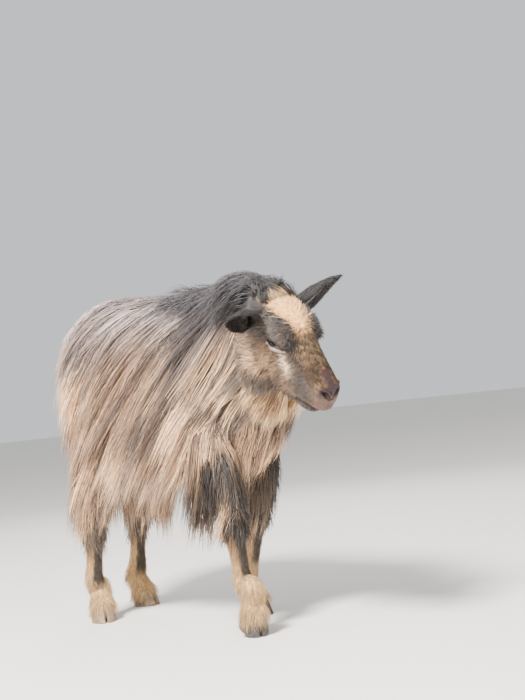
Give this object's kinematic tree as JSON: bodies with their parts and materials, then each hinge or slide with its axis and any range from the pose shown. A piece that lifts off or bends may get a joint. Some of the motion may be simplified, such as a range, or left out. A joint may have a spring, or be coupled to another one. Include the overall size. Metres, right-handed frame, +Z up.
{
  "type": "billy goat",
  "caption": "Hornless long-haired billy goat standing with its head low and turned to its right, bearded, grey and beige coat in long locks to below the belly.",
  "frame": {"origin": "on the floor under the middle of the goat's bounding box", "axes": "+X the way the body faces, +Y the goat's left, +Z up"},
  "size_m": [1.0486, 0.4848, 0.7812],
  "materials": {
    "eye": "wet gloss, dark amber brown with a level slit pupil",
    "hoof_horn": "dull slate grey horn",
    "face_hair": "short cream and tan hair with charcoal patches",
    "dark_hair": "short charcoal hair, grey inside the ear",
    "neck_coat": "long charcoal mane over cream and grey beige locks",
    "leg_hair": "short cream hair with a dark stripe down the front",
    "leg_coat_dark": "shaggy dark brown hair",
    "body_coat": "long silky locks, silver grey on the back and beige on the flank"
  },
  "bodies": {
    "root": {"claw_fore_left_left": "hoof_horn", "claw_fore_left_right": "hoof_horn", "claw_fore_right_left": "hoof_horn", "claw_fore_right_right": "hoof_horn", "claw_hind_left_left": "hoof_horn", "claw_hind_left_right": "hoof_horn", "claw_hind_right_left": "hoof_horn", "claw_hind_right_right": "hoof_horn", "dewclaw_fore_left_left": "hoof_horn", "dewclaw_fore_left_right": "hoof_horn", "dewclaw_fore_right_left": "hoof_horn", "dewclaw_fore_right_right": "hoof_horn", "dewclaw_hind_left_left": "hoof_horn", "dewclaw_hind_left_right": "hoof_horn", "dewclaw_hind_right_left": "hoof_horn", "dewclaw_hind_right_right": "hoof_horn", "ear_left": "dark_hair", "ear_right": "dark_hair", "eye_left": "eye", "eye_right": "eye", "head": "face_hair", "lower_leg_fore_left": "leg_hair", "lower_leg_fore_right": "leg_hair", "lower_leg_hind_left": "leg_hair", "lower_leg_hind_right": "leg_hair", "neck": "neck_coat", "tail": "body_coat", "torso": "body_coat", "upper_leg_fore_left": "leg_coat_dark", "upper_leg_fore_right": "leg_coat_dark", "upper_leg_hind_left": "body_coat", "upper_leg_hind_right": "body_coat"}
  },
  "joints": []
}
